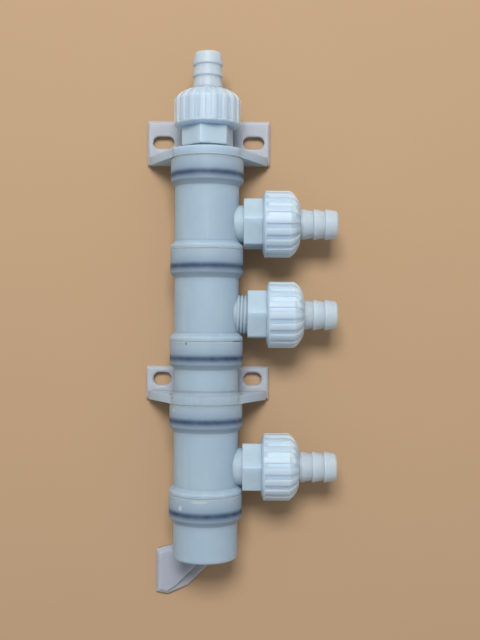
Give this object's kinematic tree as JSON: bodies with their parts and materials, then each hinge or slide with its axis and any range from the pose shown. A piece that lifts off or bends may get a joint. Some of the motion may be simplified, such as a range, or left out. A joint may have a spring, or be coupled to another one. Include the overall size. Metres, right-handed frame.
{
  "type": "water distribution manifold",
  "caption": "Translucent plastic water header of plug-together tee modules, with slotted wall ears, ribbed union nuts and barbed hose tails along one side and at one end.",
  "frame": {"origin": "on the mounting face, midway between the two slots of the inlet bracket", "axes": "+Y along the header towards the inlet, +X towards the outlets, +Z away from the wall"},
  "size_m": [0.1039, 0.2957, 0.043],
  "materials": {
    "header_plastic": "frosted natural polypropylene, milky and translucent",
    "nut_plastic": "smooth natural polypropylene, milky and slightly glossy",
    "tail_plastic": "smooth natural polypropylene, milky and slightly glossy",
    "ring_rubber": "black rubber, matt",
    "gasket_rubber": "black rubber, matt"
  },
  "bodies": {
    "root": {"inlet_bracket": "header_plastic", "tee_1": "header_plastic", "tee_2": "header_plastic", "tee_3": "header_plastic", "mid_bracket": "header_plastic", "end_cap": "header_plastic", "inlet_nut": "nut_plastic", "outlet_1_nut": "nut_plastic", "outlet_2_nut": "nut_plastic", "outlet_3_nut": "nut_plastic", "inlet_tail": "tail_plastic", "outlet_1_tail": "tail_plastic", "outlet_2_tail": "tail_plastic", "outlet_3_tail": "tail_plastic", "o_ring_1": "ring_rubber", "o_ring_2": "ring_rubber", "o_ring_3": "ring_rubber", "o_ring_4": "ring_rubber", "o_ring_5": "ring_rubber", "inlet_gasket": "gasket_rubber", "outlet_1_gasket": "gasket_rubber", "outlet_2_gasket": "gasket_rubber", "outlet_3_gasket": "gasket_rubber"}
  },
  "joints": []
}
